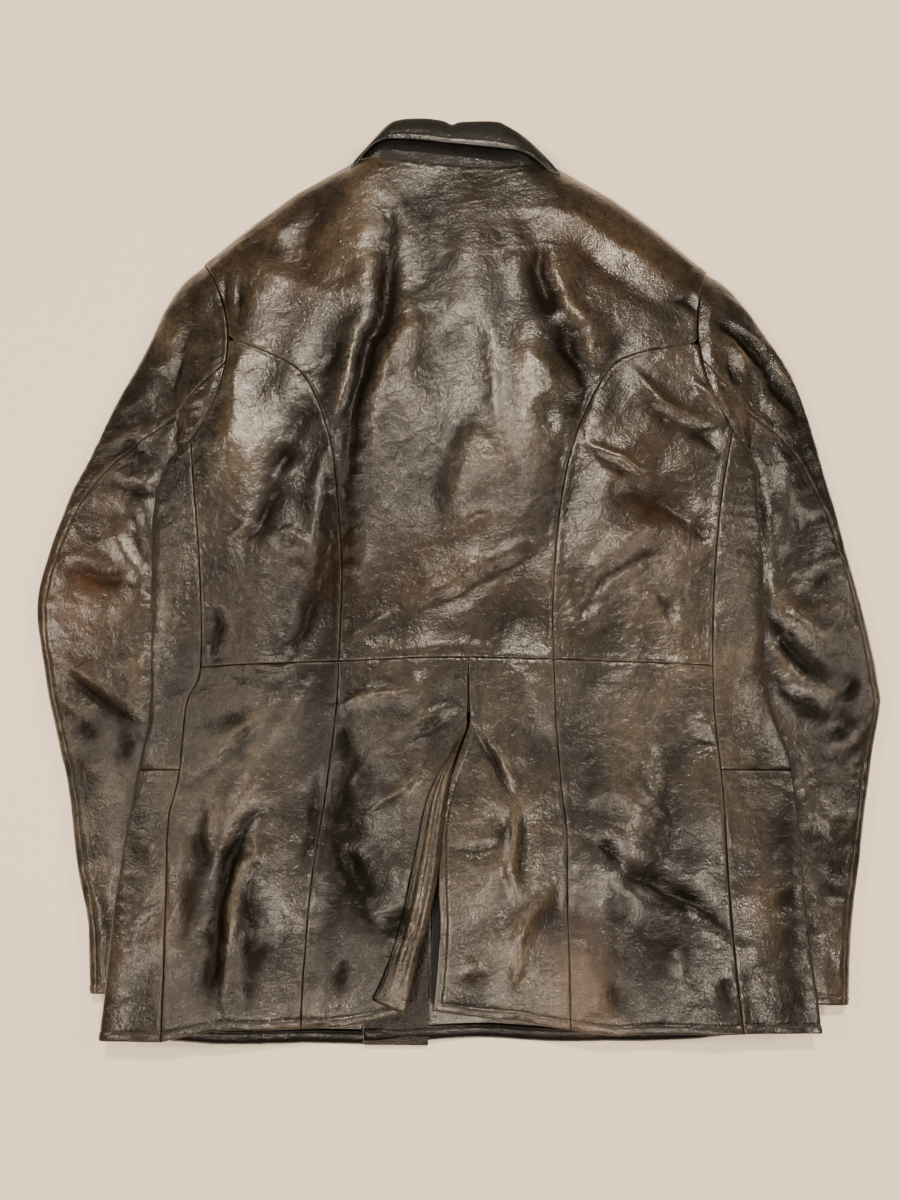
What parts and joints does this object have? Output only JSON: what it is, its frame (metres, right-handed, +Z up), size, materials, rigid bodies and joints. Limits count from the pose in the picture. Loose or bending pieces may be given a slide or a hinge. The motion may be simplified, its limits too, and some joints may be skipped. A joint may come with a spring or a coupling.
{
  "type": "leather jacket",
  "caption": "Tailored brown leather work jacket lying flat on its buttoned front, back uppermost, with princess seams, waist seam and back vent.",
  "frame": {"origin": "centre of the flat jacket's bounding box at floor level; the jacket lies on its front", "axes": "+Y from hem to collar, +X to the right seen from above the back, +Z up out of the back"},
  "size_m": [0.703, 0.7884, 0.0502],
  "materials": {
    "shell_leather": "satin",
    "facing_leather": "satin",
    "collar_leather": "satin",
    "lining_cloth": "satin",
    "button_horn": "gloss",
    "sewing_thread": "matte",
    "label_cloth": "matte"
  },
  "bodies": {
    "torso": {"back_center_panel": "shell_leather", "back_side_panel_left": "shell_leather", "back_side_panel_right": "shell_leather", "skirt_side_panel_left": "shell_leather", "skirt_side_panel_right": "shell_leather", "skirt_center_panel_left": "shell_leather", "skirt_center_panel_right": "shell_leather", "side_panel_upper_left": "shell_leather", "side_panel_lower_left": "shell_leather", "side_panel_upper_right": "shell_leather", "side_panel_lower_right": "shell_leather", "front_upper_left": "shell_leather", "front_upper_right": "shell_leather", "front_lower_left": "shell_leather", "front_lower_right": "shell_leather", "pocket_welt_left": "shell_leather", "pocket_welt_right": "shell_leather", "vent_facing_right": "facing_leather", "front_facing_left": "facing_leather", "front_facing_right": "facing_leather", "collar_stand": "collar_leather", "collar_front_left": "collar_leather", "collar_front_right": "collar_leather", "back_lining": "lining_cloth", "front_lining_left": "lining_cloth", "front_lining_right": "lining_cloth", "pocket_bag_left": "lining_cloth", "pocket_bag_right": "lining_cloth", "button_1": "button_horn", "button_thread_1": "sewing_thread", "button_2": "button_horn", "button_thread_2": "sewing_thread", "button_3": "button_horn", "button_thread_3": "sewing_thread", "neck_label": "label_cloth"},
    "collar_fold": {"collar_fall": "collar_leather"},
    "sleeve_left": {"sleeve_top_left": "shell_leather", "sleeve_under_left": "shell_leather", "sleeve_lining_left": "lining_cloth", "cuff_facing_left": "facing_leather"},
    "sleeve_right": {"sleeve_top_right": "shell_leather", "sleeve_under_right": "shell_leather", "sleeve_lining_right": "lining_cloth", "cuff_facing_right": "facing_leather"},
    "vent_edge": {"vent_facing_left": "shell_leather"},
    "lapel_turn_left": {"lapel_left": "shell_leather"},
    "lapel_turn_right": {"lapel_right": "shell_leather"},
    "loop": {"hanger_loop": "facing_leather"}
  },
  "joints": [
    {"name": "collar_fold", "type": "hinge", "parent": "torso", "child": "collar_fold", "pos_m": [0, 0.396, 0.046], "axis": [-1, 0, 0], "range_deg": [0, 140]},
    {"name": "sleeve_left_swing", "type": "hinge", "parent": "torso", "child": "sleeve_left", "pos_m": [-0.226, 0.268, 0.014], "axis": [0, 0, -1], "range_deg": [0, 30]},
    {"name": "sleeve_right_swing", "type": "hinge", "parent": "torso", "child": "sleeve_right", "pos_m": [0.229, 0.262, 0.014], "axis": [0, 0, 1], "range_deg": [0, 30]},
    {"name": "vent_edge_unfold", "type": "hinge", "parent": "torso", "child": "vent_edge", "pos_m": [0.0105, -0.152, 0.03677], "axis": [0.2019, 0.9784, 0.0439], "range_deg": [0, 160]},
    {"name": "lapel_left_turn", "type": "hinge", "parent": "torso", "child": "lapel_turn_left", "pos_m": [-0.086, 0.316, 0.001], "axis": [0.1782, -0.984, 0], "range_deg": [0, 100]},
    {"name": "lapel_right_turn", "type": "hinge", "parent": "torso", "child": "lapel_turn_right", "pos_m": [0.084, 0.312, 0.001], "axis": [0.4942, 0.8694, 0], "range_deg": [0, 100]},
    {"name": "hanger_loop_swing", "type": "hinge", "parent": "torso", "child": "loop", "pos_m": [0, 0.3333, 0.0315], "axis": [1, 0, 0], "range_deg": [-70, 70]}
  ]
}
